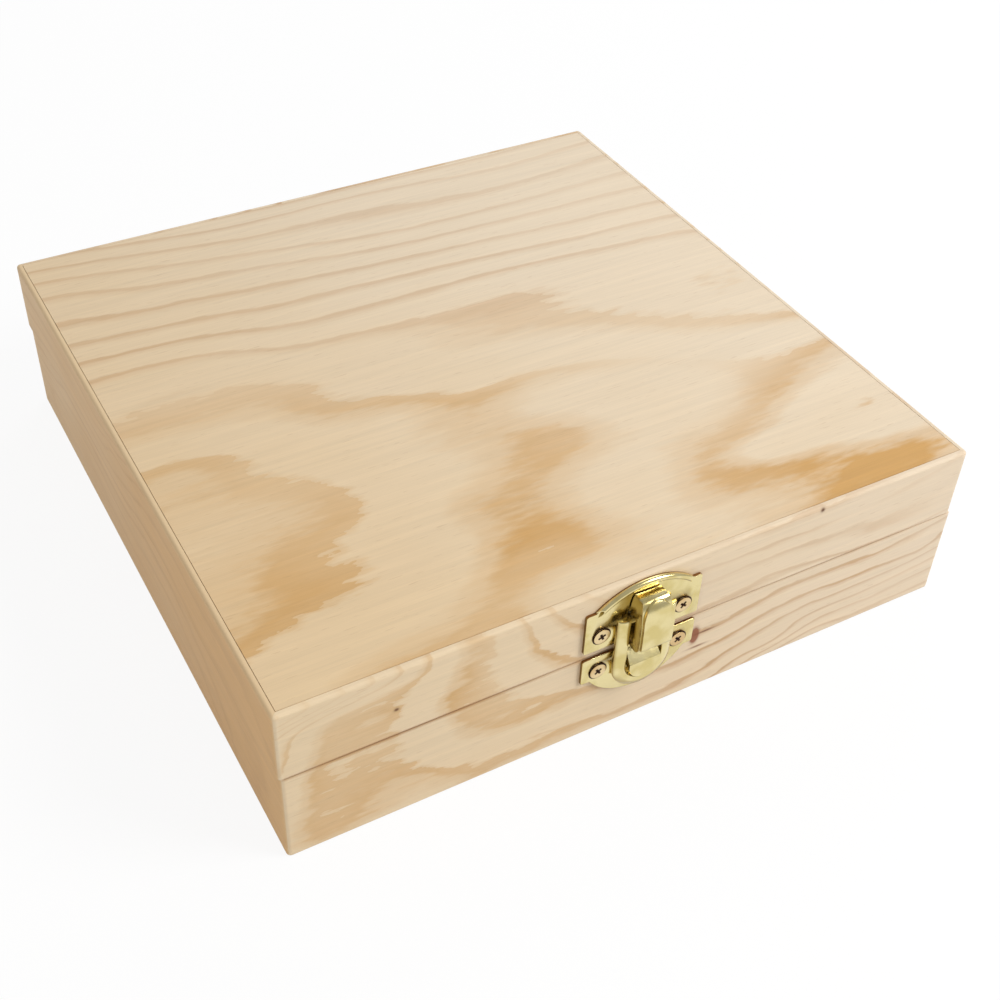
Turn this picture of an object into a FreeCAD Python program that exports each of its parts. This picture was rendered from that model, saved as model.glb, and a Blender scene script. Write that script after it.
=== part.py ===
import FreeCAD, Part
import math
import os

# A square pine tea box: a mitred base and lid sawn from one carcass, two butt hinges
# on the back and a stamped brass draw latch on the front.
# Millimetres, +Z up, origin on the table under the middle of the base. The front faces -Y.

# Carcass
box_width = 165.0
box_depth = 165.0
base_height = 24.2
lid_height = 18.1
wall = 8.0
lid_step = 0.5
corner_ease = 1.0
top_ease = 0.8
foot_ease = 0.6
seam_ease = 0.2
seam_gap = 0.14
seam_gap_depth = 0.9

# Panels let into rebates that leave a thin lip of the walls around them
top_thickness = 4.0
bottom_thickness = 4.0
lip = 1.3
panel_clearance = 0.12

# Slats that part the tea inside the base
slat_thickness = 3.0
slat_drop = 1.2
slat_clearance = 0.1
slat_count = 2

# Butt hinges
hinge_length = 25.0
hinge_inset = 26.0
leaf_height = 9.5
leaf_thickness = 1.0
leaf_corner = 1.6
knuckle_radius = 2.0
knuckle_length = 8.4
knuckle_gap = 0.25
knuckle_standoff = 0.3
hinge_pin_radius = 1.0
hinge_screw_spacing = 15.0
hinge_screw_rise = 6.2

# Draw latch, plates
latch_x = -3.1
latch_width = 27.8
plate_thickness = 0.7
shoulder_width = 2.2
screw_spacing = 19.8
upper_screw_rise = 5.9
lower_screw_drop = 4.4
upper_plate_foot = 2.1
upper_plate_side = 10.9
upper_plate_top = 17.5
lower_plate_side = 7.0
lower_plate_bottom = 13.3
bead_radius = 0.7
bead_inset = 0.5
bead_centre = 0.8

# Draw latch, lever and its pivot
pivot_out = 3.5
pivot_rise = 3.9
lever_pin_radius = 0.7
lever_width = 7.6
lever_sheet = 0.7
lever_nose = 2.35
lever_straight = 8.8
lever_brow_out = 4.2
lever_brow_rise = 15.3
lever_belly_out = 5.55
lever_belly_rise = 12.2
lever_heel_out = 1.0
lever_heel_rise = 14.8
lever_tip_width = 5.6
lever_taper_rise = 12.2
pad_width = 6.0
pad_foot = 3.1
pad_top = 15.1
pad_height = 0.4
lever_web_wrap = 34.0
ear_thickness = 0.8
ear_radius = 1.2
ear_root_low = 4.7
ear_root_high = 8.4
side_play = 0.15

# Draw latch, bail and the beak that it hooks under
bail_pivot_out = 2.1
bail_pivot_rise = 8.9
bail_pin_radius = 0.55
bail_inner = 4.3
bail_strip = 2.8
bail_back = 1.2
bail_inner_out = 2.75
bail_crown_out = 2.95
bail_outer_out = 1.9
bail_end = 1.2
bail_centre_drop = 4.3
beak_radius = 3.8
beak_root_radius = 3.3
beak_out = 3.4
beak_top_drop = 0.4
beak_ramp_drop = 2.4

# Countersunk wood screws; the latch plates are too thin to swallow theirs
latch_screw_head = 1.9
latch_screw_shank = 1.0
latch_screw_head_height = 0.9
latch_screw_length = 6.5
latch_screw_proud = 0.45
hinge_screw_head = 1.7
hinge_screw_shank = 0.8
hinge_screw_head_height = 0.9
hinge_screw_length = 5.5

# Fits
screw_clearance = 0.05
pin_clearance = 0.05
overrun = 1.0
tolerance = 0.0001

# Places worked out from the sizes above
seam = base_height
top = base_height + lid_height
front = -box_depth / 2
back = box_depth / 2
inside_width = box_width - 2 * wall
inside_depth = box_depth - 2 * wall
hinge_axis_y = back + knuckle_standoff + knuckle_radius
hinge_places = {"left": -box_width / 2 + hinge_inset + hinge_length / 2,
                "right": box_width / 2 - hinge_inset - hinge_length / 2}
corner_signs = {"front": ((-1, -1), (1, -1)), "right": ((1, -1), (1, 1)),
                "back": ((1, 1), (-1, 1)), "left": ((-1, 1), (-1, -1))}


def vec(x, y, z):
    return FreeCAD.Vector(x, y, z)


def block(x_range, y_range, z_range):
    size = [high - low for low, high in (x_range, y_range, z_range)]
    return Part.makeBox(*size, vec(x_range[0], y_range[0], z_range[0]))


def at(across, out, up):
    """A point on the latch: across from its middle, out from the front face, up from the seam."""
    return vec(latch_x + across, front - out, seam + up)


def closed_face(start, *steps):
    """A flat face drawn from a start point: a step of one point is a line, of two an arc."""
    edges = []
    here = start
    for step in steps:
        line = Part.LineSegment(here, step[0]) if len(step) == 1 else Part.Arc(here, *step)
        edges.append(line.toShape())
        here = step[-1]
    return Part.Face(Part.Wire(edges))


def flat_edges(shape, axis, place):
    """The edges that lie wholly in one plane across the X, Y or Z axis."""
    found = []
    for edge in shape.Edges:
        box = edge.BoundBox
        low, high = (getattr(box, axis + "Min"), getattr(box, axis + "Max"))
        if abs(low - place) < tolerance and abs(high - place) < tolerance:
            found.append(edge)
    return found


def save(node, *solids):
    shape = solids[0] if len(solids) == 1 else Part.makeCompound(list(solids))
    shape.exportStep("parts/" + node + ".step")
    print(node, len(shape.Solids), round(shape.Volume, 1), shape.isValid())


# Countersunk screws, made upright with the head's rim at zero and then laid on a wall
def screw(head, head_height, shank, length):
    body = Part.makeCone(shank, head, head_height, vec(0, 0, -head_height))
    return body.fuse(Part.makeCylinder(shank, length, vec(0, 0, -length)))


def screw_hole(head, head_height, shank, length):
    room = screw_clearance
    hole = Part.makeCone(shank + room, head + room, head_height, vec(0, 0, -head_height))
    hole = hole.fuse(Part.makeCylinder(head + room, overrun))
    return hole.fuse(Part.makeCylinder(shank + room, length + room, vec(0, 0, -length - room)))


def on_front(shape, x, z, out):
    placed = shape.copy()
    placed.rotate(vec(0, 0, 0), vec(1, 0, 0), 90)
    placed.translate(vec(x, front - out, z))
    return placed


def on_back(shape, x, z, out):
    placed = shape.copy()
    placed.rotate(vec(0, 0, 0), vec(1, 0, 0), -90)
    placed.translate(vec(x, back + out, z))
    return placed


def latch_screws(shape, rise):
    places = (latch_x - screw_spacing / 2, latch_x + screw_spacing / 2)
    return [on_front(shape, x, seam + rise, plate_thickness + latch_screw_proud) for x in places]


def hinge_screws(shape, hinge_x, rise):
    places = (hinge_x - hinge_screw_spacing / 2, hinge_x + hinge_screw_spacing / 2)
    return [on_back(shape, x, seam + rise, leaf_thickness) for x in places]


latch_screw_sizes = (latch_screw_head, latch_screw_head_height, latch_screw_shank, latch_screw_length)
hinge_screw_sizes = (hinge_screw_head, hinge_screw_head_height, hinge_screw_shank, hinge_screw_length)
latch_screw = screw(*latch_screw_sizes)
latch_hole = screw_hole(*latch_screw_sizes)
hinge_screw = screw(*hinge_screw_sizes)
hinge_hole = screw_hole(*hinge_screw_sizes)


# Carcass: each ring of walls is eased as one block, hollowed, rebated and parted at its mitres
def eased_ring(middle_x, low, high, low_ease, high_ease):
    half = box_width / 2
    ring = block((middle_x - half, middle_x + half), (front, back), (low, high))
    uprights = [edge for edge in ring.Edges if edge.BoundBox.ZLength > tolerance]
    ring = ring.makeFillet(corner_ease, uprights)
    ring = ring.makeFillet(low_ease, flat_edges(ring, "Z", low))
    ring = ring.makeFillet(high_ease, flat_edges(ring, "Z", high))
    return ring.cut(inset_block(middle_x, wall, low - overrun, high + overrun))


def seam_rim(middle_x, low, high):
    """The inner part of the walls that meets at the seam; outside it a thin shadow line stays open."""
    rim = inset_block(middle_x, seam_gap_depth, low, high)
    return rim.cut(inset_block(middle_x, wall, low - overrun, high + overrun))


def inset_block(middle_x, inset, low, high):
    half = box_width / 2 - inset
    return block((middle_x - half, middle_x + half), (front + inset, back - inset), (low, high))


def mitred_wall(ring, side, middle_x, low, high):
    def corner(signs, inset):
        x = middle_x + signs[0] * (box_width / 2 - inset)
        return vec(x, signs[1] * (box_depth / 2 - inset), low)

    first, second = corner_signs[side]
    reach = wall + overrun
    outline = [corner(first, -overrun), corner(second, -overrun)]
    outline += [corner(second, reach), corner(first, reach)]
    wedge = Part.Face(Part.makePolygon(outline + outline[:1])).extrude(vec(0, 0, high - low))
    return ring.common(wedge)


def build_base():
    ring = eased_ring(0, 0, seam - seam_gap, foot_ease, seam_ease)
    ring = ring.fuse(seam_rim(0, seam - seam_gap, seam)).removeSplitter()
    ring = ring.cut(inset_block(0, lip, -overrun, bottom_thickness))
    walls = {side: mitred_wall(ring, side, 0, 0, seam) for side in corner_signs}
    for hole in latch_screws(latch_hole, -lower_screw_drop):
        walls["front"] = walls["front"].cut(hole)
    for hinge_x in hinge_places.values():
        for hole in hinge_screws(hinge_hole, hinge_x, -hinge_screw_rise):
            walls["back"] = walls["back"].cut(hole)
    for side, shape in walls.items():
        save("base_" + side, shape)
    save("base_bottom", inset_block(0, lip + panel_clearance, 0, bottom_thickness))


def build_lid():
    middle_x = -lid_step
    ring = eased_ring(middle_x, seam + seam_gap, top, seam_ease, top_ease)
    ring = ring.fuse(seam_rim(middle_x, seam, seam + seam_gap)).removeSplitter()
    ring = ring.cut(inset_block(middle_x, lip, top - top_thickness, top + overrun))
    walls = {side: mitred_wall(ring, side, middle_x, seam, top) for side in corner_signs}
    for hole in latch_screws(latch_hole, upper_screw_rise):
        walls["front"] = walls["front"].cut(hole)
    for hinge_x in hinge_places.values():
        for hole in hinge_screws(hinge_hole, hinge_x, hinge_screw_rise):
            walls["back"] = walls["back"].cut(hole)
    for side, shape in walls.items():
        save("lid_" + side, shape)
    save("lid_top", inset_block(middle_x, lip + panel_clearance, top - top_thickness, top))


# Tea slats run across and from front to back, halved into each other where they cross
def slat_places(inside):
    pitch = (inside - slat_count * slat_thickness) / (slat_count + 1) + slat_thickness
    return [(index - (slat_count - 1) / 2) * pitch for index in range(slat_count)]


def build_slats():
    low = bottom_thickness
    high = seam - slat_drop
    half_lap = (low + high) / 2
    half = slat_thickness / 2
    notch = half + slat_clearance
    reach_x = inside_width / 2 - slat_clearance
    reach_y = inside_depth / 2 - slat_clearance
    across_places = slat_places(inside_depth)
    back_places = slat_places(inside_width)
    for name, y in zip(("front", "rear"), across_places):
        slat = block((-reach_x, reach_x), (y - half, y + half), (low, high))
        for x in back_places:
            slat = slat.cut(block((x - notch, x + notch), (y - slat_thickness, y + slat_thickness),
                                  (half_lap, high + overrun)))
        save("slat_" + name, slat)
    for name, x in zip(("left", "right"), back_places):
        slat = block((x - half, x + half), (-reach_y, reach_y), (low, high))
        for y in across_places:
            slat = slat.cut(block((x - slat_thickness, x + slat_thickness), (y - notch, y + notch),
                                  (low - overrun, half_lap)))
        save("slat_" + name, slat)


# Butt hinges: leaves flat on the back walls, the lid leaf's knuckle between the base leaf's two
def hinge_rod(radius, x_low, x_high):
    return Part.makeCylinder(radius, x_high - x_low, vec(x_low, hinge_axis_y, seam), vec(1, 0, 0))


def hinge_leaf(hinge_x, upward, own_spans, other_spans):
    half = hinge_length / 2
    far = seam + upward * leaf_height
    width = (hinge_x - half, hinge_x + half)
    leaf = block(width, (back, back + leaf_thickness), (min(seam, far), max(seam, far)))
    ends = [edge for edge in leaf.Edges if edge.BoundBox.YLength > tolerance
            and abs(edge.BoundBox.ZMin - far) < tolerance]
    leaf = leaf.makeFillet(leaf_corner, ends)
    room = knuckle_radius + knuckle_gap
    depth = (back - overrun, back + leaf_thickness + overrun)
    for x_low, x_high in other_spans:
        span = (x_low - knuckle_gap, x_high + knuckle_gap)
        leaf = leaf.cut(block(span, depth, (seam - room, seam + room)))
    for span in own_spans:
        leaf = leaf.fuse(hinge_rod(knuckle_radius, *span))
    bore = hinge_rod(hinge_pin_radius + pin_clearance, width[0] - overrun, width[1] + overrun)
    leaf = leaf.cut(bore)
    for hole in hinge_screws(hinge_hole, hinge_x, upward * hinge_screw_rise):
        leaf = leaf.cut(hole)
    return leaf.removeSplitter()


def build_hinges():
    base_screws = []
    lid_screws = []
    for name, hinge_x in hinge_places.items():
        half = hinge_length / 2
        inner = knuckle_length / 2
        parted = inner + knuckle_gap
        middle = [(hinge_x - inner, hinge_x + inner)]
        outer = [(hinge_x - half, hinge_x - parted), (hinge_x + parted, hinge_x + half)]
        save("hinge_base_leaf_" + name, hinge_leaf(hinge_x, -1, outer, middle))
        save("hinge_lid_leaf_" + name, hinge_leaf(hinge_x, 1, middle, outer))
        save("hinge_pin_" + name, hinge_rod(hinge_pin_radius, hinge_x - half, hinge_x + half))
        base_screws += hinge_screws(hinge_screw, hinge_x, -hinge_screw_rise)
        lid_screws += hinge_screws(hinge_screw, hinge_x, hinge_screw_rise)
    save("hinge_base_screws", *base_screws)
    save("hinge_lid_screws", *lid_screws)


# Latch plates: flat stampings with a round end and square screw ears
def stamped_plate(near, shoulder, tip):
    half = latch_width / 2
    arch = half - shoulder_width
    face = closed_face(at(-half, 0, near), (at(-half, 0, shoulder),), (at(-arch, 0, shoulder),),
                       (at(0, 0, tip), at(arch, 0, shoulder)), (at(half, 0, shoulder),),
                       (at(half, 0, near),), (at(-half, 0, near),))
    return face.extrude(vec(0, -plate_thickness, 0))


def arch_bead(shoulder, tip):
    """A rolled bead along the round end, swept about the arch's own centre."""
    arch = latch_width / 2 - shoulder_width
    rise = tip - shoulder
    radius = (arch ** 2 + rise ** 2) / (2 * rise)
    spread = math.degrees(math.asin(arch / radius))
    centre = at(0, bead_centre, tip - radius)
    start = at(0, bead_centre, tip - bead_inset)
    section = Part.Face(Part.Wire(Part.Circle(start, vec(1, 0, 0), bead_radius).toShape()))
    section.rotate(centre, vec(0, 1, 0), -spread)
    return section.revolve(centre, vec(0, 1, 0), 2 * spread)


def ear_touch(root_rise, side):
    """Out and up of the point where a line from the ear's root meets its round end."""
    away = math.hypot(pivot_out, root_rise - pivot_rise)
    heading = math.atan2(root_rise - pivot_rise, -pivot_out)
    angle = heading + side * math.acos(ear_radius / away)
    return pivot_out + ear_radius * math.cos(angle), pivot_rise + ear_radius * math.sin(angle)


def pivot_ear(side):
    """An ear turned out of the notch's edge, reaching down from above to hold the lever's pin."""
    inner = side * (lever_width / 2 - lever_sheet - side_play - ear_thickness)
    low_out, low_up = ear_touch(ear_root_low, 1)
    high_out, high_up = ear_touch(ear_root_high, -1)
    face = closed_face(at(inner, 0, ear_root_low), (at(inner, low_out, low_up),),
                       (at(inner, pivot_out + ear_radius, pivot_rise), at(inner, high_out, high_up)),
                       (at(inner, 0, ear_root_high),), (at(inner, 0, ear_root_low),))
    return face.extrude(vec(side * ear_thickness, 0, 0))


def cross_pin(radius, half_length, out, up):
    return Part.makeCylinder(radius, 2 * half_length, at(-half_length, out, up), vec(1, 0, 0))


def build_latch_plate():
    plate = stamped_plate(upper_plate_foot, upper_plate_foot + upper_plate_side, upper_plate_top)
    plate = plate.fuse(arch_bead(upper_plate_foot + upper_plate_side, upper_plate_top))
    inner = lever_width / 2 - lever_sheet - side_play - ear_thickness
    notch = block((latch_x - inner, latch_x + inner), (front - plate_thickness - overrun, front + overrun),
                  (seam + upper_plate_foot - overrun, seam + ear_root_high))
    plate = plate.cut(notch)
    for side in (-1, 1):
        plate = plate.fuse(pivot_ear(side))
    plate = plate.cut(cross_pin(lever_pin_radius + pin_clearance, lever_width, pivot_out, pivot_rise))
    for hole in latch_screws(latch_hole, upper_screw_rise):
        plate = plate.cut(hole)
    save("latch_plate", plate.removeSplitter())
    save("lever_pin", cross_pin(lever_pin_radius, lever_width / 2, pivot_out, pivot_rise))
    save("latch_screws", *latch_screws(latch_screw, upper_screw_rise))


# Lever: a pressed channel with a round nose about its pin, a sloped brow and a raised thumb pad
def lever_side(grow, across):
    """The lever's side view as a face at one place across, grown outwards all round."""
    nose = lever_nose + grow
    return closed_face(at(across, pivot_out - nose, pivot_rise),
                       (at(across, pivot_out, pivot_rise - nose), at(across, pivot_out + nose, pivot_rise)),
                       (at(across, pivot_out + nose, lever_straight),),
                       (at(across, lever_belly_out + grow, lever_belly_rise),
                        at(across, lever_brow_out + grow, lever_brow_rise + grow)),
                       (at(across, lever_heel_out, lever_heel_rise + grow),),
                       (at(across, lever_heel_out, pivot_rise + lever_nose),),
                       (at(across, pivot_out - nose, pivot_rise),))


def lever_front(half, tip_half, foot, top_rise):
    """The lever's front view as a prism that trims the sides towards the tip."""
    face = closed_face(at(-half, 0, foot), (at(-half, 0, lever_taper_rise),),
                       (at(-tip_half, 0, top_rise),), (at(tip_half, 0, top_rise),),
                       (at(half, 0, lever_taper_rise),), (at(half, 0, foot),), (at(-half, 0, foot),))
    return face.extrude(vec(0, -2 * (pivot_out + lever_nose), 0))


def thumb_pad():
    half = pad_width / 2
    face = closed_face(at(-half, 0, pad_foot), (at(-half, 0, pad_top - half),),
                       (at(0, 0, pad_top), at(half, 0, pad_top - half)),
                       (at(half, 0, pad_foot),), (at(-half, 0, pad_foot),))
    prism = face.extrude(vec(0, -2 * (pivot_out + lever_nose), 0))
    proud = lever_side(pad_height, -half).extrude(vec(pad_width, 0, 0))
    return proud.common(prism)


def nose_mouth(half):
    """The way left open under the web, where the ears pass between the walls of the nose."""
    reach = 2 * lever_nose
    wrap = math.radians(lever_web_wrap)
    lip_out = pivot_out + reach * math.cos(wrap)
    face = closed_face(at(-half, pivot_out, pivot_rise),
                       (at(-half, lip_out, pivot_rise - reach * math.sin(wrap)),),
                       (at(-half, lip_out, pivot_rise - reach),), (at(-half, 0, pivot_rise - reach),),
                       (at(-half, 0, pivot_rise),), (at(-half, pivot_out, pivot_rise),))
    return face.extrude(vec(2 * half, 0, 0))


def build_lever():
    half = lever_width / 2
    hollow = half - lever_sheet
    tip_half = lever_tip_width / 2
    foot = pivot_rise - lever_nose - overrun
    shell = lever_side(0, -half).extrude(vec(lever_width, 0, 0))
    shell = shell.common(lever_front(half, tip_half, foot, lever_brow_rise + overrun))
    shell = shell.fuse(thumb_pad())
    inside = lever_side(-lever_sheet, -hollow).extrude(vec(2 * hollow, 0, 0))
    back_way = block((latch_x - hollow, latch_x + hollow), (front - pivot_out, front),
                     (seam + pivot_rise, seam + lever_heel_rise - lever_sheet))
    inside = inside.fuse(back_way).fuse(nose_mouth(hollow))
    inside = inside.common(lever_front(hollow, tip_half - lever_sheet, foot, lever_brow_rise + overrun))
    shell = shell.cut(inside)
    shell = shell.cut(cross_pin(lever_pin_radius + pin_clearance, lever_width, pivot_out, pivot_rise))
    bail_bore = bail_pin_radius + pin_clearance
    shell = shell.cut(cross_pin(bail_bore, lever_width, bail_pivot_out, bail_pivot_rise))
    save("latch_lever", shell.removeSplitter())


# Bail: one crowned strip bent to a loop, its arms joined by a half round and pinned to the lever
def bail_section(side, up):
    inner = side * bail_inner
    middle = side * (bail_inner + bail_strip / 2)
    outer = side * (bail_inner + bail_strip)
    return closed_face(at(inner, bail_back, up), (at(inner, bail_inner_out, up),),
                       (at(middle, bail_crown_out, up), at(outer, bail_outer_out, up)),
                       (at(outer, bail_back, up),), (at(inner, bail_back, up),))


def build_bail():
    centre = at(0, 0, -bail_centre_drop)
    loop = bail_section(-1, -bail_centre_drop).revolve(centre, vec(0, 1, 0), -180)
    hollow = lever_width / 2 - lever_sheet
    arm_top = bail_pivot_rise + bail_end
    for side in (-1, 1):
        arm = bail_section(side, -bail_centre_drop).extrude(vec(0, 0, bail_centre_drop + arm_top))
        loop = loop.fuse(arm)
    loop = loop.removeSplitter()
    for side in (-1, 1):
        middle = side * (bail_inner + bail_strip / 2)
        trunnion = Part.makeCylinder(bail_pin_radius, abs(middle) - hollow,
                                     at(middle, bail_pivot_out, bail_pivot_rise), vec(-side, 0, 0))
        loop = loop.fuse(trunnion)
    save("latch_bail", loop)


# Catch plate: the base's plate with a beak pressed out of it, flared to hold the bail under it
def beak_form(shrink, out, root_out):
    tip = beak_radius - shrink
    root = beak_root_radius - shrink
    centre = at(0, root_out, -bail_centre_drop)
    bowl = Part.makeCone(root, tip, out - root_out, centre, vec(0, -1, 0))
    ends = []
    for half, depth in ((root, root_out), (tip, out)):
        corners = [at(-half, depth, -bail_centre_drop), at(half, depth, -bail_centre_drop),
                   at(half, depth, 0), at(-half, depth, 0)]
        ends.append(Part.makePolygon(corners + corners[:1]))
    stem = Part.makeLoft(ends, True, True)
    ramp = closed_face(at(-latch_width, root_out, -beak_top_drop - shrink),
                       (at(-latch_width, out, -beak_ramp_drop - shrink),),
                       (at(-latch_width, out, -lower_plate_bottom),),
                       (at(-latch_width, root_out, -lower_plate_bottom),),
                       (at(-latch_width, root_out, -beak_top_drop - shrink),))
    return bowl.fuse(stem).common(ramp.extrude(vec(2 * latch_width, 0, 0)))


def build_catch():
    plate = stamped_plate(0, -lower_plate_side, -lower_plate_bottom)
    plate = plate.fuse(beak_form(0, beak_out, plate_thickness / 2))
    plate = plate.cut(beak_form(plate_thickness, beak_out - plate_thickness, 0))
    for hole in latch_screws(latch_hole, -lower_screw_drop):
        plate = plate.cut(hole)
    save("catch_plate", plate.removeSplitter())
    save("catch_screws", *latch_screws(latch_screw, -lower_screw_drop))


os.makedirs("parts", exist_ok=True)
build_base()
build_lid()
build_slats()
build_hinges()
build_latch_plate()
build_lever()
build_bail()
build_catch()
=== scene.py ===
# %% [markdown]
# # A pine tea box with a brass draw latch
# The box comes packed as a fixed frame: every board, slat, hinge and latch piece is already
# in its place, in metres, with the front towards -Y. This lesson dresses that frame. The
# boards keep their shape and get a pine finish that follows the figure of each board, and the
# small brass pieces are modelled again by hand, because light shows every edge on bright metal.

# %% Load the frame
import math

import bmesh
import bpy
from mathutils import Matrix, Vector


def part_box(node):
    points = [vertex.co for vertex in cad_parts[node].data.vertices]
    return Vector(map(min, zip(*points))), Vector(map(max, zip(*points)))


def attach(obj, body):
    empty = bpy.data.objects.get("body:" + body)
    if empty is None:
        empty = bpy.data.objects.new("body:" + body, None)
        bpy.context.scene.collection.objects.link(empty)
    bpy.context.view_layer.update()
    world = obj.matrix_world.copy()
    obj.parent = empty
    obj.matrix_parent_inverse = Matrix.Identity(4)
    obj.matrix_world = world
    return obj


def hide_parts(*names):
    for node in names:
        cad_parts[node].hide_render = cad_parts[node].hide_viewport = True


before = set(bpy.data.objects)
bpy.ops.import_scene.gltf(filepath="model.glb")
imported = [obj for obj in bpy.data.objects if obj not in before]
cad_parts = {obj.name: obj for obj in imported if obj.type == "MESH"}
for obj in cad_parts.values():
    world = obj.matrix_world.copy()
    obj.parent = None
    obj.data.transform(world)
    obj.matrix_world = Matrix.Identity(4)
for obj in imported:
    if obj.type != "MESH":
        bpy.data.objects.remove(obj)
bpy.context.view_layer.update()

# %% [markdown]
# The camera looks down on the lid from the front left, as a person does who stands at the
# table. Its turn, height and slight tilt are given as three angles, and the camera's own axes
# are worked out from them, which keeps the tilt exact where tracking a target would lose it.

# %% Camera
camera_place = (-0.135643, -0.245825, 0.245301)
azimuth, elevation, tilt = (math.radians(angle) for angle in (-30.916, 41.603, 2.665))
backward = Vector((math.sin(azimuth) * math.cos(elevation), -math.cos(azimuth) * math.cos(elevation),
                   math.sin(elevation)))
level_right = Vector((0, 0, 1)).cross(backward).normalized()
level_up = backward.cross(level_right)
right = math.cos(tilt) * level_right + math.sin(tilt) * level_up
up = math.cos(tilt) * level_up - math.sin(tilt) * level_right
bpy.ops.object.select_all(action="DESELECT")
bpy.ops.object.camera_add()
camera = bpy.context.object
camera.matrix_world = Matrix.Translation(camera_place) @ Matrix((right, up, backward)).transposed().to_4x4()
camera.data.lens = 52.74
camera.data.sensor_width = 36.0
camera.data.clip_start = 0.01
bpy.context.scene.camera = camera
print("camera at", [round(value, 3) for value in camera.location])

# %% [markdown]
# Every finish below is a small web of shader nodes. Three short helpers add a node, feed its
# sockets in order and hand back its result, so that each finish reads as one recipe. Colours
# are written as they look on a screen, from 0 to 255, and turned into the linear values that
# a shader works with.


# %% Helpers for finishes
def tint(red, green, blue):
    linear = []
    for level in (red / 255, green / 255, blue / 255):
        linear.append(level / 12.92 if level <= 0.04045 else ((level + 0.055) / 1.055) ** 2.4)
    return (*linear, 1.0)


def feed(tree, socket, value):
    if isinstance(value, bpy.types.NodeSocket):
        tree.links.new(value, socket)
    elif value is not None:
        socket.default_value = value


def add(tree, kind, *values, output=0, **settings):
    node = tree.nodes.new("ShaderNode" + kind)
    for name, setting in settings.items():
        setattr(node, name, setting)
    for socket, value in zip(node.inputs, values):
        feed(tree, socket, value)
    return node.outputs[output]


def sums(tree, operation, *values):
    return add(tree, "Math", *values, operation=operation)


def mixed(tree, share, first, second, blend="MIX"):
    node = tree.nodes.new("ShaderNodeMix")
    node.data_type = "RGBA"
    node.blend_type = blend
    for place, value in ((0, share), (6, first), (7, second)):
        feed(tree, node.inputs[place], value)
    return node.outputs[2]


def ramp(tree, value, stops, interpolation="LINEAR"):
    node = tree.nodes.new("ShaderNodeValToRGB")
    node.color_ramp.interpolation = interpolation
    while len(node.color_ramp.elements) < len(stops):
        node.color_ramp.elements.new(0.5)
    for element, (place, grey) in zip(node.color_ramp.elements, stops):
        element.position = place
        element.color = (grey, grey, grey, 1.0)
    feed(tree, node.inputs[0], value)
    return node.outputs[0]


def spread(tree, value, low, high, to_low=0.0, to_high=1.0):
    return add(tree, "MapRange", value, low, high, to_low, to_high, interpolation_type="SMOOTHSTEP")


def noise(tree, vector, sizes, detail=2.0, roughness=0.5):
    stretched = add(tree, "VectorMath", vector, tuple(1 / size for size in sizes), operation="MULTIPLY")
    return add(tree, "TexNoise", stretched, None, 1.0, detail, roughness)


def new_finish(name):
    finish = bpy.data.materials.new(name)
    finish.use_nodes = True
    return finish, finish.node_tree, finish.node_tree.nodes["Principled BSDF"]


print("helpers for finishes are ready")

# %% [markdown]
# The set is a plain pale floor under a pale sky, with one large soft lamp at the front right.
# The floor is lighter to the camera than to the light that bounces off it, so the page stays
# white around the box while the wood isn't flooded from below, and it keeps a soft shadow.

# %% Floor, sky and lamps
scene = bpy.context.scene
scene.view_settings.view_transform = "Standard"

bpy.ops.object.select_all(action="DESELECT")
bpy.ops.mesh.primitive_plane_add(size=8.0)
floor = bpy.context.object
floor.name = "floor"
floor_finish, tree, shader = new_finish("pale_floor")
ray = tree.nodes.new("ShaderNodeLightPath")
seen = sums(tree, "MAXIMUM", ray.outputs["Is Camera Ray"], ray.outputs["Is Glossy Ray"])
seen = sums(tree, "MAXIMUM", seen, ray.outputs["Is Transmission Ray"])
paper = add(tree, "BsdfDiffuse", mixed(tree, seen, (0.72, 0.72, 0.72, 1), (1, 1, 1, 1)))
page = add(tree, "Emission", (1, 1, 1, 1), 1.0)
whitened = add(tree, "MixShader", sums(tree, "MULTIPLY", seen, 0.9), paper, page)
tree.links.new(whitened, tree.nodes["Material Output"].inputs["Surface"])
tree.nodes.remove(shader)
floor.data.materials.append(floor_finish)

sky = bpy.data.worlds.new("soft_sky")
sky.use_nodes = True
tree = sky.node_tree
ray = tree.nodes.new("ShaderNodeLightPath")
seen = sums(tree, "MAXIMUM", ray.outputs["Is Camera Ray"], ray.outputs["Is Transmission Ray"])
glow = mixed(tree, seen, (0.46, 0.462, 0.47, 1), (1, 1, 1, 1))
tree.links.new(glow, tree.nodes["Background"].inputs["Color"])
scene.world = sky


def soft_lamp(name, place, target, size, power, colour=(1, 1, 1)):
    bpy.ops.object.light_add(type="AREA", location=place)
    lamp = bpy.context.object
    lamp.name = name
    lamp.data.shape = "DISK"
    lamp.data.size = size
    lamp.data.energy = power
    lamp.data.color = colour
    lamp.rotation_euler = (Vector(target) - Vector(place)).to_track_quat("-Z", "Y").to_euler()
    return lamp


key_lamp = soft_lamp("key_lamp", (0.58, -0.50, 0.64), (0, 0, 0.02), 0.5, 6.2)
rim_lamp = soft_lamp("rim_lamp", (0.5, 0.6, 0.6), (0, 0, 0.03), 0.5, 1.5)
fill_lamp = soft_lamp("fill_lamp", (-0.8, -0.35, 0.3), (0, 0, 0.02), 0.5, 1.0, (1, 0.86, 0.66))
print("lamps:", key_lamp.name, rim_lamp.name, fill_lamp.name)

# %% [markdown]
# Pine is a stack of yearly rings, and what shows on a board is where its face cuts them: fine
# parallel lines where it cuts them steeply, broad flames where it only grazes them. So the
# finish is one height field per board, a gentle slope with a few rounded hills, and each whole
# number of that height is the edge of one ring. Moving a hill bends the rings as a real swelling
# in the trunk does. A row of hills is: place along, place across, reach along, reach across and
# height in rings, with the lengths in millimetres.

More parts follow.
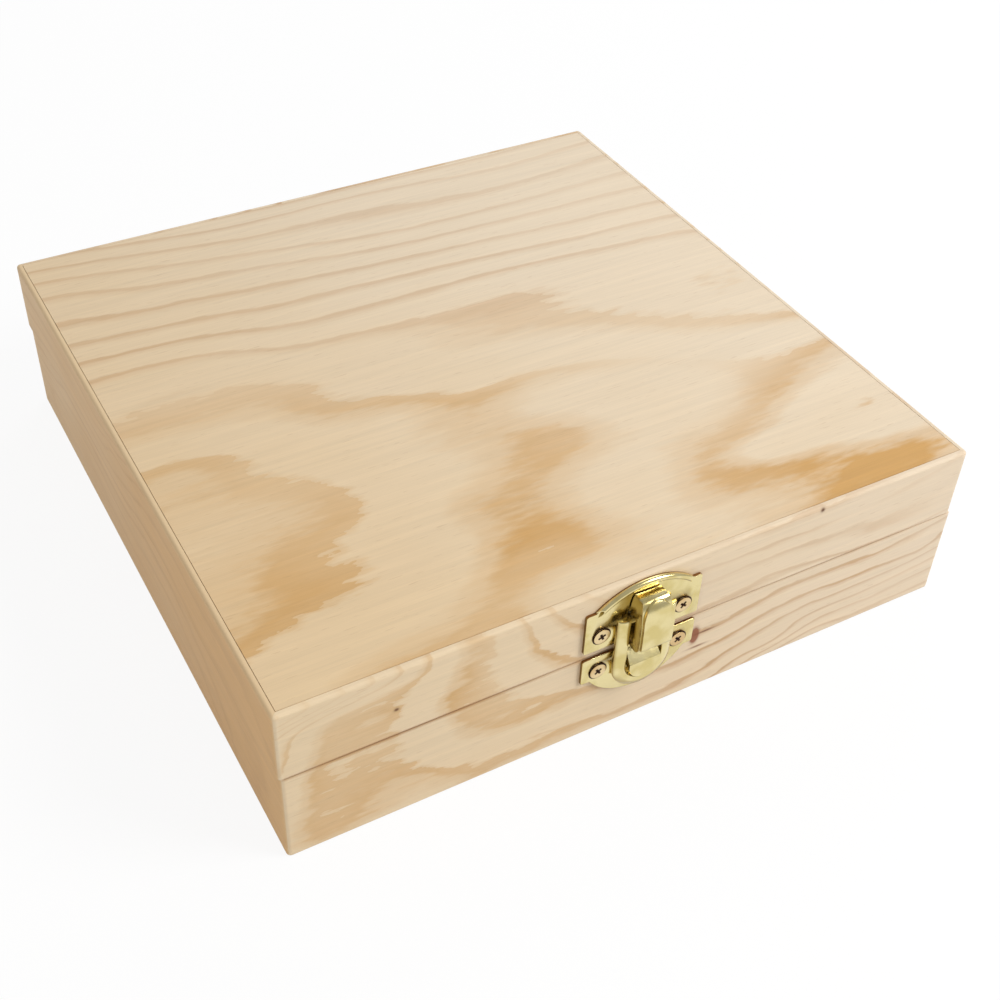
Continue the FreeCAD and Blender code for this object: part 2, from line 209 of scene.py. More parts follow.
# %% The rings of a board
TOP_FIGURE = {
    "level": 4.145, "along": 0.00410, "across": 0.05915, "bend": 0.0002798,
    "hills": (
        (73.4, 77.4, 16.2, 9.9, -0.05), (4.9, 73.1, 31.4, 9.1, -0.98), (-4.9, 71.5, 58.5, 21.5, 2.12),
        (-32.5, 70.3, 142.3, 13.9, -1.20), (-76.8, 59.9, 17.0, 8.2, -0.27), (-28.7, 55.3, 27.8, 9.9, -0.49),
        (57.1, 47.5, 31.5, 13.0, -0.41), (-64.3, 45.1, 16.1, 10.6, 0.10), (-82.8, 27.6, 159.4, 40.8, -2.08),
        (-13.2, 22.7, 40.6, 10.4, 1.28), (-13.6, 21.4, 67.9, 11.4, -1.59), (-36.9, 10.3, 18.7, 31.8, 0.61),
        (62.5, 8.8, 38.0, 30.6, -2.18), (-33.2, 5.5, 21.5, 12.0, -0.81), (-73.5, -10.6, 21.6, 7.3, -0.40),
        (-25.2, -13.4, 16.0, 10.4, -0.53), (104.7, -20.6, 41.8, 14.5, 1.27),
        (56.2, -24.0, 30.4, 76.5, 1.81), (-78.1, -24.8, 37.6, 31.4, -1.22),
        (51.1, -32.6, 58.7, 21.4, -2.12), (7.4, -38.2, 18.0, 13.9, 1.29), (-45.2, -39.3, 17.3, 57.1, -0.48),
        (7.5, -42.8, 14.6, 28.4, -0.55), (-36.0, -48.4, 27.9, 7.4, 0.28), (66.4, -58.8, 22.4, 12.0, -1.51),
        (-65.4, -60.9, 45.6, 14.4, -0.47), (43.9, -61.3, 11.5, 5.0, -0.60),
        (-22.4, -63.1, 53.3, 14.4, 0.31), (48.3, -74.7, 24.3, 8.6, -0.50), (-16.7, -81.2, 13.7, 7.7, -0.71),
        (65.1, -86.3, 21.3, 6.1, -0.26), (-41.9, -109.7, 55.6, 46.4, 2.06)),
    "calm": (
        (25, 75, 33, 22, 0.39), (69, 71, 36, 26, 0.50), (-59, 69, 28, 20, 0.37), (-17, 65, 32, 19, 0.30),
        (71, 47, 35, 22, 0.45), (-22, 46, 29, 18, 0.22), (27, 42, 31, 20, 0.21), (63, 25, 28, 20, 0.16),
        (-25, 14, 32, 15, 0.26), (-56, 13, 30, 13, 0.41), (-14, -1, 27, 17, 0.09), (26, -9, 23, 17, 0.50),
        (53, -21, 33, 18, 0.31), (47, -28, 31, 10, 0.60), (-65, -30, 18, 12, 0.48), (38, -30, 25, 14, 0.71),
        (-14, -30, 30, 14, -0.52), (39, -38, 14, 16, 0.77), (-69, -59, 38, 23, -0.47),
        (-19, -62, 20, 11, -0.50), (62, -63, 35, 36, -1.09))}
FRONT_FIGURE = {
    "rough": 2.0,
    "level": -7.144, "along": -0.01585, "across": 0.16833, "bend": 0.0001371,
    "hills": (
        (-36.5, 47.4, 9.3, 33.1, -1.15), (-86.9, 46.4, 52.2, 8.1, -2.35), (-87.1, 45.1, 9.0, 30.5, -3.20),
        (-70.1, 43.9, 50.8, 22.5, -2.75), (-77.1, 41.7, 16.9, 3.8, -3.01), (-59.0, 40.4, 38.9, 22.1, -2.25),
        (-64.9, 37.3, 9.0, 3.5, 0.51), (37.9, 32.0, 13.4, 6.2, 0.33), (34.2, 30.1, 27.6, 6.5, -1.05),
        (93.8, 28.1, 57.2, 4.5, 1.10), (-51.3, 27.5, 9.0, 4.0, 0.20), (1.1, 25.4, 38.7, 54.5, 0.92),
        (-39.7, 22.3, 12.6, 43.2, 1.12), (56.0, 21.2, 52.0, 69.3, 2.27), (74.7, 16.2, 9.1, 3.8, 0.65),
        (-29.5, 13.5, 10.3, 3.5, 0.37), (38.2, 11.3, 16.3, 7.1, 0.68), (21.7, 4.2, 11.4, 4.8, 0.14),
        (36.5, 4.1, 9.5, 4.7, 1.44), (-43.9, 3.7, 14.3, 8.9, -0.59), (63.6, 0.4, 32.2, 11.5, -1.70),
        (-58.3, -2.6, 92.7, 12.1, 1.56), (38.4, -6.1, 15.7, 23.3, -2.70), (-8.4, -21.2, 49.6, 6.4, 0.94)),
    "calm": (
        (-70, 41, 22, 6, 0.80),
        (2, 42, 31, 8, 0.97), (53, 37, 11, 6, 0.96), (80, 35, 20, 12, 0.97), (-28, 34, 19, 9, -0.34),
        (-42, 33, 25, 9, -0.92), (-36, 32, 10, 13, 0.78), (17, 30, 21, 5, 0.87), (-61, 27, 22, 13, 0.65),
        (-55, 25, 19, 15, -0.93), (-78, 21, 10, 5, -0.62), (73, 17, 20, 6, -0.54), (56, 17, 10, 8, -0.59),
        (19, 16, 17, 13, -0.22), (13, 12, 13, 13, -0.35), (-19, 10, 17, 5, -0.40), (71, 6, 20, 15, 0.56),
        (16, 2, 17, 8, -0.26))}


RING_WANDER = (((46, 19, 30), 2.0, 0.06), ((8, 2.0, 6), 3.0, 0.2))


def board_place(tree, axes, turn, shift):
    """Millimetres along the grain, across it and into the board."""
    here = add(tree, "TexCoord", output=3)
    parts = tree.nodes.new("ShaderNodeSeparateXYZ")
    feed(tree, parts.inputs[0], here)
    ordered = add(tree, "CombineXYZ", *(parts.outputs[axis] for axis in axes))
    scaled = add(tree, "VectorMath", ordered, tuple(1000.0 * sign for sign in turn), operation="MULTIPLY")
    return add(tree, "VectorMath", scaled, (*shift, 0.0), operation="ADD")


def hill(tree, place, along, across, reach_along, reach_across, depth=0.0, reach_depth=1e6):
    """One at the top of a rounded hill, fading to nothing around it."""
    near = add(tree, "Mapping", place, (along, across, depth), (0, 0, 0), (reach_along, reach_across, reach_depth),
               vector_type="TEXTURE")
    squared = add(tree, "VectorMath", near, near, operation="DOT_PRODUCT", output=1)
    return sums(tree, "POWER", 1 / math.e, squared)


def ring_height(tree, place, figure):
    parts = tree.nodes.new("ShaderNodeSeparateXYZ")
    feed(tree, parts.inputs[0], place)
    along, across, depth = parts.outputs
    slope = sums(tree, "MULTIPLY_ADD", across, figure["bend"], figure["across"])
    height = sums(tree, "MULTIPLY_ADD", across, slope, figure["level"])
    height = sums(tree, "MULTIPLY_ADD", along, figure["along"], height)
    height = sums(tree, "MULTIPLY_ADD", depth, figure.get("into", 0.02), height)
    for *form, rise in figure["hills"]:
        height = sums(tree, "MULTIPLY_ADD", hill(tree, place, *form), rise, height)
    for sizes, detail, reach in RING_WANDER:
        wander = noise(tree, place, sizes, detail)
        reach *= figure.get("rough", 1.0)
        height = sums(tree, "MULTIPLY_ADD", sums(tree, "SUBTRACT", wander, 0.5), reach, height)
    return height


print("figures:", len(TOP_FIGURE["hills"]), "hills on the lid,", len(FRONT_FIGURE["hills"]), "on the front")

# %% [markdown]
# Within one ring, pale early wood darkens slowly towards the dense late wood and then stops at
# a fairly crisp edge. A ramp over the part of the height after the point gives that. Over it lie
# fibres as fine as hairs and a few short resin flecks. A slow change from cream to pink towards
# the right and back is partly the wood's own tone and partly painted light, a painted sheen and
# fall of light, and a few marks paint shade into the seam and highlights on edges.


# %% The pine finish
def pine(name, axes, figure, turn=(1, 1, 1), shift=(0, 0), flame=None, strength=1.0,
         pale=(tint(228, 201, 160), tint(232, 214, 187)), ring=(tint(196, 154, 108), tint(207, 161, 97)),
         marks=()):
    finish, tree, shader = new_finish(name)
    place = board_place(tree, axes, turn, shift)
    parts = tree.nodes.new("ShaderNodeSeparateXYZ")
    feed(tree, parts.inputs[0], place)
    height = ring_height(tree, place, figure)
    part = sums(tree, "FRACT", height)
    late = ramp(tree, part, ((0.0, 0.45), (0.06, 0.03), (0.62, 0.0), (0.78, 0.38), (0.90, 1.0), (0.97, 0.9)), "EASE")
    for *form, share in figure.get("calm", ()):
        late = sums(tree, "MULTIPLY", late, sums(tree, "MULTIPLY_ADD", hill(tree, place, *form), -share, 1.0))
    clouds = noise(tree, place, (38, 21, 30), 2.0)
    # Paler and cooler towards the right and back: partly the wood's own tone, partly painted light, a painted sheen
    # and the fall of the key light.
    tone_and_light_drift = add(tree, "VectorMath", add(tree, "TexCoord", output=3), (900.0, 450.0, 0.0), operation="DOT_PRODUCT",
                output=1)
    tone_and_light_drift = sums(tree, "MULTIPLY_ADD", sums(tree, "SUBTRACT", clouds, 0.5), 50.0, tone_and_light_drift)
    flames = spread(tree, parts.outputs[flame[0]], *flame[1:]) if flame else 0.35
    patch = spread(tree, noise(tree, place, (52, 14, 22), 1.5), 0.30, 0.62, 0.85, 1.1)
    late = sums(tree, "MULTIPLY", sums(tree, "MULTIPLY", late, patch), strength)
    fibre = noise(tree, place, (14, 0.22, 0.5), 3.0, 0.65)
    streak = noise(tree, place, (42, 1.3, 4), 2.0, 0.6)
    early = mixed(tree, spread(tree, tone_and_light_drift, -120.0, 70.0), *pale)
    late_colour = mixed(tree, flames, *ring)
    colour = mixed(tree, late, early, late_colour)
    grain = sums(tree, "MULTIPLY_ADD", fibre, 0.16, 0.92)
    grain = sums(tree, "MULTIPLY_ADD", sums(tree, "SUBTRACT", streak, 0.5), 0.16, grain)
    colour = mixed(tree, 1.0, colour, add(tree, "CombineColor", grain, grain, grain), "MULTIPLY")
    flecks = spread(tree, noise(tree, place, (3.4, 0.26, 0.6), 0.0), 0.775, 0.83, 0.0, 0.22)
    colour = mixed(tree, flecks, colour, tint(176, 138, 98))
    for form, share, mark_tint in marks:
        spot = sums(tree, "MINIMUM", sums(tree, "MULTIPLY", hill(tree, place, *form), share), 0.92)
        colour = mixed(tree, spot, colour, mark_tint)
    feed(tree, shader.inputs["Base Color"], colour)
    feed(tree, shader.inputs["Roughness"], sums(tree, "MULTIPLY_ADD", fibre, 0.2, 0.46))
    shader.inputs["Specular IOR Level"].default_value = 0.32
    bump = tree.nodes.new("ShaderNodeBump")
    bump.inputs["Strength"].default_value = 0.35
    bump.inputs["Distance"].default_value = 0.00006
    feed(tree, bump.inputs["Height"], fibre)
    feed(tree, shader.inputs["Normal"], bump.outputs[0])
    return finish


ALONG_X_UP, ALONG_Y_UP, ALONG_X_FLAT = (0, 2, 1), (1, 2, 0), (0, 1, 2)
LID_STRENGTH, FRONT_STRENGTH = 0.53, 0.5
FRONT_SKIN, LEFT_SKIN = (-82.5, 0.7), (-82.7, 0.8)
# Mark tints: painted shade for the seam's groove, a painted highlight with some wear for the front-left corner, and a
# painted highlight for the left side's top edge.
SEAM_SHADE_TINT, CORNER_WEAR_AND_HIGHLIGHT_TINT, LIP_HIGHLIGHT_TINT = tint(150, 100, 54), tint(240, 222, 190), tint(229, 203, 163)
pine_finishes = {
    "lid_top": pine("pine_lid_top", ALONG_X_FLAT, TOP_FIGURE, flame=(1, 24.0, -6.0), strength=LID_STRENGTH),
    "base_bottom": pine("pine_bottom", ALONG_X_FLAT, TOP_FIGURE, turn=(-1, -1, 1), flame=(1, 24.0, -6.0), strength=LID_STRENGTH),
    "front": pine("pine_front", ALONG_X_UP, FRONT_FIGURE, flame=(0, 10.0, -30.0), strength=FRONT_STRENGTH,
                  pale=(tint(233, 210, 174), tint(232, 213, 187)),
                  # Painted shade: dark brown bands along the seam stand for the shade in the seam's groove.
                  marks=(((-55.0, 24.2, 45.0, 0.42, *FRONT_SKIN), 0.8, SEAM_SHADE_TINT),
                         ((48.0, 24.2, 40.0, 0.35, *FRONT_SKIN), 0.4, SEAM_SHADE_TINT),
                         # A paler strip down the front-left corner: painted highlight, with some wear.
                         ((-82.4, 21.0, 0.5, 60.0), 0.5, CORNER_WEAR_AND_HIGHLIGHT_TINT),
                         ((12.0, 17.5, 0.8, 1.6, *FRONT_SKIN), 5.0, tint(146, 82, 52)),
                         ((14.8, 17.6, 2.4, 0.28, *FRONT_SKIN), 0.9, tint(110, 62, 40)),
                         ((13.2, 13.6, 2.2, 0.3, *FRONT_SKIN), 0.9, tint(140, 84, 54)),
                         ((41.4, 41.5, 0.5, 0.5, *FRONT_SKIN), 1.2, tint(96, 60, 36)),
                         ((-58.4, 31.6, 0.5, 0.4, *FRONT_SKIN), 1.2, tint(110, 72, 44)))),
    "back": pine("pine_back", ALONG_X_UP, FRONT_FIGURE, turn=(-1, -1, 1), shift=(9.0, 43.0),
                 flame=(0, 10.0, -30.0), strength=FRONT_STRENGTH),
    "left": pine("pine_left", ALONG_Y_UP, FRONT_FIGURE, turn=(1, -1, 1), shift=(26.0, 40.0), strength=0.25,
                 # Painted light: on the left side this pair runs much paler towards the back, where the side is lit
                 # more brightly.
                 pale=(tint(221, 178, 119), tint(248, 232, 203)),
                 # Painted shade along the seam on the left side.
                 marks=(((26.0, 15.8, 120.0, 0.4, *LEFT_SKIN), 0.6, SEAM_SHADE_TINT),
                        # Painted highlight: a paler band along the top edge of the left side.
                        ((26.0, -2.3, 400.0, 0.7), 0.85, LIP_HIGHLIGHT_TINT),
                        # The same paler strip down the front-left corner on this side: painted highlight, with some
                        # wear.
                        ((-56.4, 20.0, 0.5, 60.0), 0.5, CORNER_WEAR_AND_HIGHLIGHT_TINT))),
    "right": pine("pine_right", ALONG_Y_UP, FRONT_FIGURE, turn=(-1, 1, 1), shift=(-14.0, 4.0),
                  flame=(0, 10.0, -30.0), strength=FRONT_STRENGTH)}
STRAIGHT_FIGURE = {"level": 0.4, "along": 0.006, "across": 0.21, "bend": 0.0, "into": 0.34,
                   "hills": ((-40.0, 12.0, 60.0, 9.0, 0.8), (52.0, 16.0, 46.0, 12.0, -0.7))}
pine_finishes["slat_x"] = pine("pine_slat_across", ALONG_X_UP, STRAIGHT_FIGURE, strength=0.7)
pine_finishes["slat_y"] = pine("pine_slat_lengthways", ALONG_Y_UP, STRAIGHT_FIGURE, shift=(17.0, 5.0), strength=0.7)


def refinish(node, finish):
    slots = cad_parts[node].data.materials
    slots.clear()
    slots.append(finish)


for side in ("front", "right", "back", "left"):
    refinish("base_" + side, pine_finishes[side])
    refinish("lid_" + side, pine_finishes[side])
for node, finish in (("lid_top", "lid_top"), ("base_bottom", "base_bottom"), ("slat_front", "slat_x"),
                     ("slat_rear", "slat_x"), ("slat_left", "slat_y"), ("slat_right", "slat_y")):
    refinish(node, pine_finishes[finish])
print("pine finishes:", ", ".join(pine_finishes))

# %% [markdown]
# The hardware is thin steel, stamped, tumbled and plated with bright brass. The plating is glossy
# but not a mirror: tumbling leaves a slight waviness, and handling leaves paler and duller spots.
# Faces that look down or to the left are painted olive brown: painted shade and a painted
# reflection of darker surroundings.


# %% The brass finish
def brass(name, shine, tone=(tint(230, 215, 160), tint(215, 197, 132))):
    finish, tree, shader = new_finish(name)
    place = board_place(tree, ALONG_X_FLAT, (1, 1, 1), (0, 0))
    spots = noise(tree, place, (5.0, 5.0, 5.0), 2.0, 0.5)
    colour = mixed(tree, spread(tree, spots, 0.38, 0.66), *tone)
    # Painted shade and reflection: faces that look down or to the left are mixed towards olive brown.
    facing = tree.nodes.new("ShaderNodeSeparateXYZ")
    feed(tree, facing.inputs[0], add(tree, "TexCoord", output=1))
    sideways = spread(tree, facing.outputs[0], -0.5, -0.95)
    downwards = spread(tree, facing.outputs[2], -0.05, -0.32)
    facing_shade = sums(tree, "MULTIPLY", sums(tree, "MAXIMUM", sideways, downwards), 0.68)
    colour = mixed(tree, facing_shade, colour, tint(150, 126, 66))
    feed(tree, shader.inputs["Base Color"], colour)
    feed(tree, shader.inputs["Roughness"], sums(tree, "MULTIPLY_ADD", spots, 0.16, shine))
    shader.inputs["Metallic"].default_value = 1.0
    waves = noise(tree, place, (1.8, 1.8, 1.8), 1.5)
    bump = tree.nodes.new("ShaderNodeBump")
    bump.inputs["Strength"].default_value = 0.25
    bump.inputs["Distance"].default_value = 0.00012
    feed(tree, bump.inputs["Height"], waves)
    feed(tree, shader.inputs["Normal"], bump.outputs[0])
    return finish


bright_brass = brass("bright_brass", 0.13)
screw_brass = brass("screw_head_brass", 0.22, (tint(232, 208, 160), tint(216, 184, 132)))
# Painted shade: a dark red-brown brass for the plates' thin edges, standing for shade and dark reflections there.
edge_painted_shade = brass("edge_painted_shade", 0.3, (tint(146, 106, 64), tint(122, 84, 48)))
# Painted shade: a dark brown for the screw crosses and countersinks, where the recesses lie in shade.
recess_painted_shade, tree, shader = new_finish("recess_painted_shade")
shader.inputs["Base Color"].default_value = tint(74, 42, 20)
shader.inputs["Roughness"].default_value = 0.55
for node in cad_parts:
    if node.startswith(("hinge", "latch", "catch", "lever")):
        refinish(node, screw_brass if node.endswith("screws") else bright_brass)
print("brass finishes:", bright_brass.name, screw_brass.name)

# %% [markdown]
# The latch is small and bright, so its form is modelled again at full detail. Working in metres
# would mean numbers like 0.0007, so each piece is shaped in millimetres and shrunk once it is
# done. The helpers do what hands do: let go of everything, add a starting shape, pick faces or
# edges by where they are, ease the sharp edges, cut one form out of another, and set the piece on
# the body that carries it. Places on the latch count across from its middle, out from the front
# of the box and up from the seam.

# %% Helpers for modelling
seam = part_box("lid_front")[0].z * 1000
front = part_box("base_front")[0].y * 1000
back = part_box("base_back")[1].y * 1000
latch_x = sum(corner.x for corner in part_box("catch_plate")) * 500
TINY = 0.01


def at(across, out, up):
    return Vector((latch_x + across, front - out, seam + up))


def hold(*pieces):
    """Object mode, with only these pieces selected and the last one active."""
    if bpy.context.object and bpy.context.object.mode != "OBJECT":
        bpy.ops.object.mode_set(mode="OBJECT")
    bpy.ops.object.select_all(action="DESELECT")
    for piece in pieces:
        piece.select_set(True)
        bpy.context.view_layer.objects.active = piece


def begin(name, add_shape, stretch=None, finish=bright_brass, **size):
    hold()
    add_shape(**size)
    piece = bpy.context.object
    piece.name = name
    piece.data.materials.append(finish)
    bpy.ops.object.transform_apply(location=True, rotation=True, scale=True)
    bpy.ops.object.mode_set(mode="EDIT")
    bpy.ops.mesh.select_all(action="SELECT")
    if stretch:
        bpy.ops.transform.resize(value=stretch, center_override=size.get("location", (0, 0, 0)))
    return piece


def pick(kind, test):
    """Select the corners, edges or faces whose points all pass a test of across, out and up."""
    bpy.ops.mesh.select_mode(type=kind)
    bpy.ops.mesh.select_all(action="DESELECT")
    data = bpy.context.object.data
    mesh = bmesh.from_edit_mesh(data)
    groups = {"VERT": [(part, [part]) for part in mesh.verts],
              "EDGE": [(part, part.verts) for part in mesh.edges],
              "FACE": [(part, part.verts) for part in mesh.faces]}
    for part, points in groups[kind]:
        places = [point.co - at(0, 0, 0) for point in points]
        if all(test(place.x, -place.y, place.z) for place in places):
            part.select_set(True)
    mesh.select_flush_mode()
    bmesh.update_edit_mesh(data)


def push(across=0.0, out=0.0, up=0.0):
    bpy.ops.mesh.extrude_region_move(TRANSFORM_OT_translate={"value": (across, -out, up)})


def outwards():
    bpy.ops.mesh.select_all(action="SELECT")
    bpy.ops.mesh.remove_doubles(threshold=0.001)
    bpy.ops.mesh.normals_make_consistent(inside=False)


def ease(piece, width, segments=3, angle=35):
    hold(piece)
    bpy.ops.object.modifier_add(type="BEVEL")
    bevel = piece.modifiers[-1]
    bevel.width = width
    bevel.segments = segments
    bevel.limit_method = "ANGLE"
    bevel.angle_limit = math.radians(angle)
    bpy.ops.object.modifier_apply(modifier=bevel.name)


def combine(piece, other, operation="DIFFERENCE"):
    hold(piece)
    bpy.ops.object.modifier_add(type="BOOLEAN")
    boolean = piece.modifiers[-1]
    boolean.operation = operation
    boolean.object = other
    boolean.material_mode = "TRANSFER"
    bpy.ops.object.modifier_apply(modifier=boolean.name)
    bpy.data.objects.remove(other)


def join(*pieces):
    hold(*pieces)
    bpy.ops.object.join()
    return pieces[-1]


def settle(piece, body, slot, *nodes, angle=35):
    hold(piece)
    bpy.ops.object.transform_apply(location=True, rotation=True, scale=True)
    piece.scale = (0.001, 0.001, 0.001)
    bpy.ops.object.transform_apply(location=True, rotation=True, scale=True)
    bpy.ops.object.shade_smooth_by_angle(angle=math.radians(angle))
    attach(piece, body)
    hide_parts(*nodes)
    print(piece.name, "has", len(piece.data.polygons), "faces")


# %% [markdown]
# A countersunk screw starts as a short disc. Its lower face is pushed down and narrowed into the
# cone, then pushed again as the shank, and two tapered bars cut the cross into the head. The same
# screw is copied to every place, each with its own mesh and its own turn, because no two screws
# stop at the same angle.


# %% Screws
def screw_form(head, shank, length):
    rim, cone = 0.14, 0.85
    form = begin("screw_form", bpy.ops.mesh.primitive_cylinder_add, finish=screw_brass, vertices=48, radius=head,
                 depth=rim, location=(0, 0, -rim / 2))
    bpy.ops.mesh.select_mode(type="FACE")
    bpy.ops.mesh.select_all(action="DESELECT")
    mesh = bmesh.from_edit_mesh(form.data)
    for face in mesh.faces:
        face.select_set(face.normal.z < -0.9)
    bmesh.update_edit_mesh(form.data)
    bpy.ops.mesh.extrude_region_move(TRANSFORM_OT_translate={"value": (0, 0, -cone)})
    bpy.ops.transform.resize(value=(shank / head, shank / head, 1))
    bpy.ops.mesh.extrude_region_move(TRANSFORM_OT_translate={"value": (0, 0, rim + cone - length)})
    outwards()
    bar_long, bar_wide = head * 1.3, head * 0.38
    for bar_sizes in ((bar_long, bar_wide), (bar_wide, bar_long)):
        # The bars' dark brown goes onto the cut faces of the cross: painted shade in the recess.
        bar = begin("cross_bar", bpy.ops.mesh.primitive_cube_add, finish=recess_painted_shade, size=1,
                    stretch=(*bar_sizes, head * 0.8))
        mesh = bmesh.from_edit_mesh(bar.data)
        for point in mesh.verts:
            point.select_set(point.co.z < 0)
        mesh.select_flush_mode()
        bmesh.update_edit_mesh(bar.data)
        bpy.ops.transform.resize(value=(0.45, 0.45, 1), center_override=(0, 0, 0))
        combine(form, bar)
    ease(form, 0.06, 2, 40)
    return form


def set_screws(name, form, lay, places, body, node):
    copies = []
    for number, (place, turn) in enumerate(places):
        copy = form.copy()
        copy.data = form.data.copy()
        bpy.context.scene.collection.objects.link(copy)
        copy.matrix_world = (Matrix.Translation(place) @ Matrix.Rotation(lay, 4, "X")
                             @ Matrix.Rotation(math.radians(turn), 4, "Z"))
        copies.append(copy)
    screws = join(*copies)
    screws.name = name
    settle(screws, body, "screw_brass", node)


screw_spacing, upper_rise, lower_drop, screw_out = 19.8, 5.9, 4.4, 0.95
latch_form = screw_form(1.9, 1.0, 6.1)
for name, up, body, node, turns in (("latch_screw_pair", upper_rise, "lid", "latch_screws", (22, 52)),
                                    ("catch_screw_pair", -lower_drop, "base", "catch_screws", (35, 40))):
    sides = (-screw_spacing / 2, screw_spacing / 2)
    set_screws(name, latch_form, math.pi / 2,
               [(at(side, screw_out, up), turn) for side, turn in zip(sides, turns)], body, node)
bpy.data.objects.remove(latch_form)

hinge_middle, hinge_spacing, hinge_rise, leaf_thickness = 44.0, 15.0, 6.2, 1.0
hinge_form = screw_form(1.7, 0.8, 5.5)
for name, up, body, node, turns in (("hinge_lid_screw_set", hinge_rise, "lid", "hinge_lid_screws", (15, 48, 70, 31)),
                                    ("hinge_base_screw_set", -hinge_rise, "base", "hinge_base_screws", (62, 20, 38, 5))):
    sides = [middle + step for middle in (-hinge_middle, hinge_middle) for step in (-hinge_spacing / 2, hinge_spacing / 2)]
    set_screws(name, hinge_form, -math.pi / 2,
               [((side, back + leaf_thickness, seam + up), turn) for side, turn in zip(sides, turns)], body, node)
bpy.data.objects.remove(hinge_form)

# %% [markdown]
# Both plates are stamped from sheet with a round end and two square ears. A filled circle gives the
# round end: bisect leaves only its cap, the cap's straight edge is pushed out into the middle of
# the plate, and that strip's sides into the ears. Then the whole sheet is pushed to its thickness,
# and cones sink the screw holes.

# %% Latch plates
ear_reach, shoulder_width, plate_thickness = 13.9, 2.2, 0.7
arch = ear_reach - shoulder_width


def arch_radius(shoulder, tip):
    rise = abs(tip - shoulder)
    return (arch ** 2 + rise ** 2) / (2 * rise)


def stamped_plate(name, near, shoulder, tip, screw_up):
    toward = math.copysign(1, tip - near)
    radius = arch_radius(shoulder, tip)
    plate = begin(name, bpy.ops.mesh.primitive_circle_add, vertices=240, radius=radius, fill_type="NGON",
                  location=at(0, 0, tip - toward * radius), rotation=(math.pi / 2, 0, 0))
    bpy.ops.mesh.select_all(action="SELECT")
    bpy.ops.mesh.bisect(plane_co=at(0, 0, shoulder), plane_no=(0, 0, toward), clear_inner=True)
    pick("EDGE", lambda across, out, up: abs(up - shoulder) < TINY)
    push(up=near - shoulder)
    for side in (-1, 1):
        pick("EDGE", lambda across, out, up: abs(across - side * arch) < TINY)
        push(across=side * shoulder_width)
    bpy.ops.mesh.select_all(action="SELECT")
    push(out=plate_thickness)
    outwards()
    # The sheet's thin side faces take the dark red-brown brass: painted shade on the edges.
    plate.data.materials.append(edge_painted_shade)
    bpy.ops.mesh.select_mode(type="FACE")
    mesh = bmesh.from_edit_mesh(plate.data)
    for face in mesh.faces:
        face.select_set(abs(face.normal.y) < 0.5)
    bmesh.update_edit_mesh(plate.data)
    plate.active_material_index = 1
    bpy.ops.object.material_slot_assign()
    pick("EDGE", lambda across, out, up: abs(abs(across) - ear_reach) < TINY)
    mesh = bmesh.from_edit_mesh(plate.data)
    for edge in mesh.edges:
        edge.select_set(edge.select and abs(edge.verts[0].co.y - edge.verts[1].co.y) > TINY)
    bmesh.update_edit_mesh(plate.data)
    bpy.ops.mesh.bevel(offset=0.6, segments=4)
    for side in (-screw_spacing / 2, screw_spacing / 2):
        # The cone's dark brown goes onto the countersink's walls: painted shade round the screw head.
        sink = begin("countersink", bpy.ops.mesh.primitive_cone_add, finish=recess_painted_shade, vertices=64, radius1=1.05,
                     radius2=2.5, depth=1.0, location=at(side, 0.4, screw_up), rotation=(math.pi / 2, 0, 0))
        combine(plate, sink)
    ease(plate, 0.16, 3, 40)
    return plate


upper_near, upper_shoulder, upper_tip = 2.1, 13.0, 17.5
upper_plate = stamped_plate("latch_plate_stamped", upper_near, upper_shoulder, upper_tip, upper_rise)

# %% [markdown]
# The upper plate's round edge is rolled over into a bead, a hollow roll that ends open on both
# sides. A torus round the arch's own centre gives the roll. It is cut slanting at both ends, and
# each cut face is inset and pushed inwards, which leaves the dark open ends.

# %% Rolled bead
bead_radius, bead_out, bead_inset = 0.72, 0.78, 0.45
upper_radius = arch_radius(upper_shoulder, upper_tip)
bead = begin("rolled_bead", bpy.ops.mesh.primitive_torus_add, major_radius=upper_radius - bead_inset,
             minor_radius=bead_radius, major_segments=400, minor_segments=20,
             location=at(0, bead_out, upper_tip - upper_radius), rotation=(math.pi / 2, 0, 0))
bpy.ops.mesh.select_all(action="SELECT")
bpy.ops.mesh.bisect(plane_co=at(0, 0, upper_shoulder - 1.5), plane_no=(0, 0, 1), clear_inner=True)
for side in (-1, 1):
    end = at(side * 11.2, bead_out, upper_tip - upper_radius + math.sqrt((upper_radius - bead_inset) ** 2 - 11.2 ** 2))
    bpy.ops.mesh.select_all(action="SELECT")
    bpy.ops.mesh.bisect(plane_co=end, plane_no=(side * 0.6, -0.8, 0), use_fill=True, clear_outer=True)
    bpy.ops.mesh.select_mode(type="FACE")
    mesh = bmesh.from_edit_mesh(bead.data)
    for face in mesh.faces:
        face.select_set(len(face.verts) > 8 and face.calc_center_median().x * side > latch_x * side)
    bmesh.update_edit_mesh(bead.data)
    bpy.ops.mesh.inset(thickness=0.2)
    push(across=-side * 2.0, out=-0.1, up=1.3)
outwards()
upper_plate = join(bead, upper_plate)

# %% [markdown]
# Two ears stand out of the upper plate and hold the lever's pin. Each starts as a disc round the
# pin, and the part of its rim that faces the plate is pushed back into it. The pin itself is a
# rivet: a rod whose ends are pushed out a little and narrowed into low heads.

# %% Ears and lever pin
pivot_out, pivot_up, lever_half = 3.5, 3.9, 3.8
for side in (-1, 1):
    ear = begin("pivot_ear", bpy.ops.mesh.primitive_cylinder_add, vertices=40, radius=1.2, depth=0.8,
                location=at(side * 2.55, pivot_out, pivot_up), rotation=(0, math.pi / 2, 0))
    pick("FACE", lambda across, out, up: out - pivot_out < 0.3 and up - pivot_up > -0.3)
    push(out=-2.2, up=2.4)
    outwards()
    ease(ear, 0.08, 2, 40)
    upper_plate = join(ear, upper_plate)
settle(upper_plate, "lid", "brass", "latch_plate")

